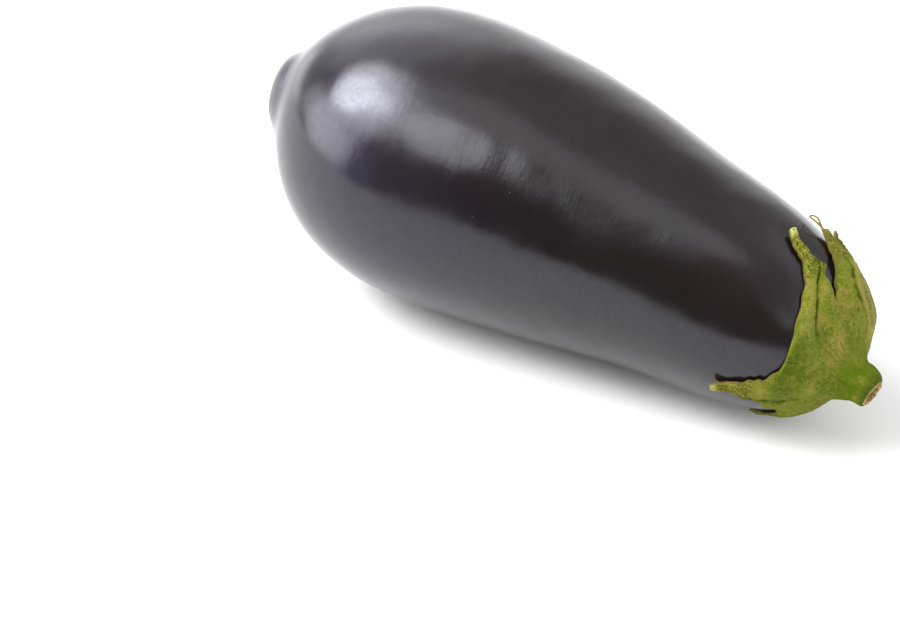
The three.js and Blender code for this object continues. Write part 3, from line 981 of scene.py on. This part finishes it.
def skin_material():
    """Glossy skin, nearly black: violet at the broad end, lighter and warmer on the top side as
    partly painted light, dull and corky round the scar.
    """
    n = Material("skin")
    dots = n.node("ShaderNodeTexVoronoi", distance="EUCLIDEAN")
    dots.inputs["Scale"].default_value = 240
    n.link(n.where, dots.inputs["Vector"])
    rare = n.ramp(n.noise(70, 2), 0.60, 0.64)
    speck = n.math("MULTIPLY", n.ramp(dots.outputs["Distance"], 0.02, 0.06, 1, 0), rare)
    dull = n.marked("nub", n.ramp(n.noise(180, 5, 0.6), 0.3, 0.6, 0.6, 1))
    corky = n.marked("blossom", n.ramp(n.noise(520, 5, 0.7), 0.3, 0.5))
    tones = SKIN_COLORS
    base = n.blend(n.ramp(n.noise(22, 3), 0.3, 0.7), tones["dark"], tones["brown"])
    barky = n.ramp(n.noise(900, 4, 0.7), 0.35, 0.65)
    layers = [
        (n.marked("broad_end", n.ramp(n.noise(35, 3), 0.2, 0.6, 0.5, 1)), tones["violet"]),
        # The top side lighter and warmer, partly painted light.
        (n.marked("lit_topside", n.ramp(n.noise(30, 3), 0.25, 0.6, 0.3, 1)), tones["warm_lit_top"]),
        (n.marked("shoulder", n.ramp(n.noise(60, 3), 0.35, 0.8, 0, 0.5)), tones["shoulder"]),
        (n.math("MULTIPLY", speck, 0.7), tones["speck"]),
        (dull, tones["dull"]),
        (corky, n.blend(barky, tones["dark bark"], tones["pale bark"])),
    ]
    n.paint(base, layers)

    gloss = n.ramp(n.noise(45, 4), 0.3, 0.75, 0.16, 0.25)
    gloss = n.math("ADD", gloss, n.math("MULTIPLY", dull, 0.15))
    gloss = n.math("ADD", gloss, n.math("MULTIPLY", corky, 0.3))
    n.link(gloss, n.shader.inputs["Roughness"])
    shine = n.ramp(n.noise(700, 5, 0.75, distort=0.5), 0.3, 0.7, 0.49, 0.59)
    n.link(shine, n.shader.inputs["Specular IOR Level"])
    n.shader.inputs["Specular Tint"].default_value = SKIN_SHEEN_TINT
    streaks = n.noise(1, 3, 0.5, n.stretched(1300, 180, 180))
    wrinkles = n.noise(260, 6, 0.7, distort=0.8)
    pores = n.noise(1100, 3, 0.6)
    n.bump([
        (wrinkles, 0.18, 0.00016),
        (streaks, 0.2, 0.00007),
        (pores, 0.3, 0.00004),
        (corky, 0.4, 0.0003),
    ])
    return n.material


def calyx_material():
    """Matt green flesh, mottled and worn, with painted shade in its creases, painted shade and
    darker green low on one side, pale ridge streaks that are partly painted highlight, pale tips
    and a corky cut end.
    """
    n = Material("calyx_green")
    flow = n.node("ShaderNodeAttribute", attribute_name="flow").outputs["Vector"]
    patches, mottle = n.noise(170, 5, 0.65), n.noise(1150, 4, 0.65)
    grain, specks = n.noise(2600, 3, 0.7), n.noise(1700, 4, 0.7)
    fibres = n.noise(1, 3, 0.6, n.stretched(300, 1000, 1000, flow))
    ridge_place = n.node("ShaderNodeCombineXYZ")
    n.link(n.attribute("run"), ridge_place.inputs["X"])
    n.link(n.attribute("across"), ridge_place.inputs["Y"])
    ridge_lines = n.noise(1, 4, 0.65, n.stretched(330, 1100, 1, ridge_place.outputs["Vector"]))
    worn = n.math("MULTIPLY", n.ramp(n.noise(190, 5, 0.65, distort=0.4), 0.48, 0.68), 0.8)
    dry = n.ramp(n.attribute("dry"), 0.15, 0.7)
    # Painted shade along the creases.
    painted_crease_shade = n.ramp(n.attribute("painted_crease_shade"), 0.15, 0.9, 0, 0.85)
    woody = n.ramp(mottle, 0.4, 0.6)
    tones = CALYX_COLORS
    base = n.blend(n.ramp(patches, 0.36, 0.62), tones["dark green"], tones["light green"])
    layers = [
        (n.ramp(mottle, 0.50, 0.66, 0, 0.6), tones["yellow mottle"]),
        (n.ramp(mottle, 0.48, 0.34, 0, 0.65), tones["green mottle"]),
        (n.ramp(grain, 0.50, 0.64, 0, 0.55), tones["dark grain"]),
        (n.ramp(grain, 0.47, 0.33, 0, 0.65), tones["pale grain"]),
        (n.math("MULTIPLY", worn, n.ramp(grain, 0.3, 0.55, 0.4, 1)), tones["worn"]),
        # Painted shade, partly darker flesh, in a patch low on the calyx.
        (n.marked("dark_green_and_shade", n.ramp(n.noise(420, 5, 0.7), 0.36, 0.60, 0.25, 0.9)), tones["dark_green_and_shade"]),
        (n.marked("scuff", n.ramp(n.noise(800, 4, 0.7), 0.46, 0.60)), tones["scuff"]),
        (n.marked("stalk", n.ramp(n.noise(300, 4, 0.6), 0.36, 0.58, 0.2, 0.9)), tones["stalk"]),
        (n.marked("end", n.ramp(mottle, 0.35, 0.6, 0.5, 0.95)), tones["stalk end"]),
        # Pale streaks along the green ridges, partly painted highlight.
        (n.marked("ridge_streaks_and_highlight", n.ramp(ridge_lines, 0.48, 0.66, 0, 0.8)), tones["ridge_streaks_and_highlight"]),
        (n.math("MULTIPLY", dry, n.ramp(mottle, 0.25, 0.5, 0.5, 1)), tones["dry ridge"]),
        (n.marked("strap", 0.65), tones["strap"]),
        (n.marked("strap", n.ramp(specks, 0.51, 0.61, 0, 0.9)), tones["fleck"]),
        (n.marked("strap", n.ramp(specks, 0.48, 0.38, 0, 0.9)), tones["pit"]),
        (n.marked("tip", n.ramp(mottle, 0.3, 0.6, 0.4, 1)), tones["tip"]),
        (n.ramp(n.attribute("edge"), 0.5, 1.0, 0, 0.75), tones["edge"]),
        (n.math("MULTIPLY", painted_crease_shade, n.ramp(mottle, 0.34, 0.58, 0.45, 1)), tones["painted_crease_shade"]),
        (n.attribute("inside"), tones["inside"]),
        (n.attribute("cut"), n.blend(woody, tones["dark bark"], tones["pale bark"])),
        (n.attribute("pith"), n.blend(woody, tones["dark pith"], tones["pale pith"])),
    ]
    n.paint(base, layers)

    n.link(n.ramp(mottle, 0.3, 0.8, 0.65, 0.9), n.shader.inputs["Roughness"])
    n.shader.inputs["Specular IOR Level"].default_value = CALYX_SHINE
    n.bump([(fibres, 0.4, 0.0002), (mottle, 0.55, 0.0002), (grain, 0.5, 0.00009)])
    return n.material


def floor_material():
    """White, very slightly uneven."""
    n = Material("floor")
    n.paint(n.blend(n.ramp(n.noise(3, 2), 0.3, 0.7), *FLOOR_COLORS))
    n.shader.inputs["Roughness"].default_value = FLOOR_ROUGHNESS
    return n.material


# ---- Stage ----

FLOOR_SIZE = 6.0
# The room's even light, a dark patch in front taken from it and the glows added to it. Each patch
# has its azimuth, elevation, inner and outer angle in degrees, and its strength.
ROOM_LIGHT = 0.45
DARK_FRONT = (15, 15, 22, 52, 0.35)
GLOWS = [
    (-67, 48, 10, 24, 9.2),
    (-57, 15, 4, 26, 5.9),
    (-81, 12, 3, 13, 2.4),
    (-41, 42, 4, 19, 5.2),
    (-33, 55, 3, 16, 2.4),
    (-6, 77, 4, 18, 1.0),
    (0, 90, 8, 32, 0.2),
    (44, 40, 4, 11, 1.1),
    (-147, 12, 12, 37, 1.15),
    (-125, 40, 10, 34, 1.3),
    (-112, 20, 8, 22, 0.3),
    (95, 20, 20, 42, 2.9),
    (135, 40, 10, 35, 0.85),
]
# The camera: azimuth and elevation in degrees, distance, what it looks at, lens and sensor in mm.
VIEW_AZIMUTH = 33.05
VIEW_ELEVATION = 36
VIEW_DISTANCE = 0.73572
VIEW_TARGET = Vector((-0.03230, -0.01663, -0.00055))
LENS = 100
SENSOR_WIDTH = 36
# Soft lamps: azimuth and elevation in degrees, distance, width and height, power and aim.
LAMPS = {
    "key": (-67, 39, 1.1, (0.5, 0.45), 3.6, (0, 0, 0.04)),
    "sheen": (-12, 51, 0.3, (0.1, 0.18), 0.21, (-0.0185, -0.0275, 0.0703)),
    "card": (-104, 3, 0.7, (0.4, 0.12), 0.22, (-0.08, 0, 0.03)),
}


def towards(azimuth, elevation):
    """Unit vector towards a light or camera; azimuth 0 is the -Y side, turning towards +X."""
    turn, rise = math.radians(azimuth), math.radians(elevation)
    level = math.cos(rise)
    return Vector((math.sin(turn) * level, -math.cos(turn) * level, math.sin(rise)))


def add_floor():
    bpy.ops.mesh.primitive_plane_add(size=FLOOR_SIZE, location=(0, 0, 0))
    floor = bpy.context.object
    floor.name = "floor"
    floor.data.materials.append(floor_material())


def add_camera():
    data = bpy.data.cameras.new("camera")
    data.lens = LENS
    data.sensor_width = SENSOR_WIDTH
    camera = bpy.data.objects.new("camera", data)
    back = towards(VIEW_AZIMUTH, VIEW_ELEVATION)
    camera.location = VIEW_TARGET + back * VIEW_DISTANCE
    camera.rotation_euler = (-back).to_track_quat("-Z", "Y").to_euler()
    bpy.context.scene.collection.objects.link(camera)
    bpy.context.scene.camera = camera


def add_lamp(name, azimuth, elevation, distance, size, power, aim):
    """An elliptical area lamp that faces the point aim from a direction and a distance."""
    data = bpy.data.lights.new(name, "AREA")
    data.shape = "ELLIPSE"
    data.size, data.size_y = size
    data.energy = power
    lamp = bpy.data.objects.new(name, data)
    back = towards(azimuth, elevation)
    lamp.location = Vector(aim) + back * distance
    lamp.rotation_euler = (-back).to_track_quat("-Z", "Y").to_euler()
    bpy.context.scene.collection.objects.link(lamp)


def add_room():
    """The world's light: even, darker in front, with soft glows that the skin mirrors."""
    world = bpy.data.worlds.new("studio")
    world.use_nodes = True
    bpy.context.scene.world = world
    n = Nodes(world.node_tree)
    direction = n.node("ShaderNodeTexCoord").outputs["Generated"]

    def facing(azimuth, elevation, inner, outer, strength):
        """A soft round patch of light: full within one angle of its middle, none past another."""
        dot = n.node("ShaderNodeVectorMath", operation="DOT_PRODUCT")
        n.link(direction, dot.inputs[0])
        dot.inputs[1].default_value = towards(azimuth, elevation)
        far, near = math.cos(math.radians(outer)), math.cos(math.radians(inner))
        return n.ramp(dot.outputs["Value"], far, near, 0, strength)

    total = n.math("SUBTRACT", ROOM_LIGHT, facing(*DARK_FRONT))
    for patch in GLOWS:
        total = n.math("ADD", total, facing(*patch))
    background = n.tree.nodes["Background"]
    background.inputs["Color"].default_value = (1, 1, 1, 1)
    n.link(total, background.inputs["Strength"])


def main():
    bpy.context.scene.view_settings.view_transform = "Standard"
    add_camera()
    add_room()
    for name, settings in LAMPS.items():
        add_lamp(name, *settings)
    add_floor()

    fruit = build_fruit()
    fruit.data.materials.append(skin_material())
    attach(fruit, "root")
    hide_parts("fruit")

    calyx = build_calyx()
    calyx.data.materials.append(calyx_material())
    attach(calyx, "root")
    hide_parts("calyx")


main()
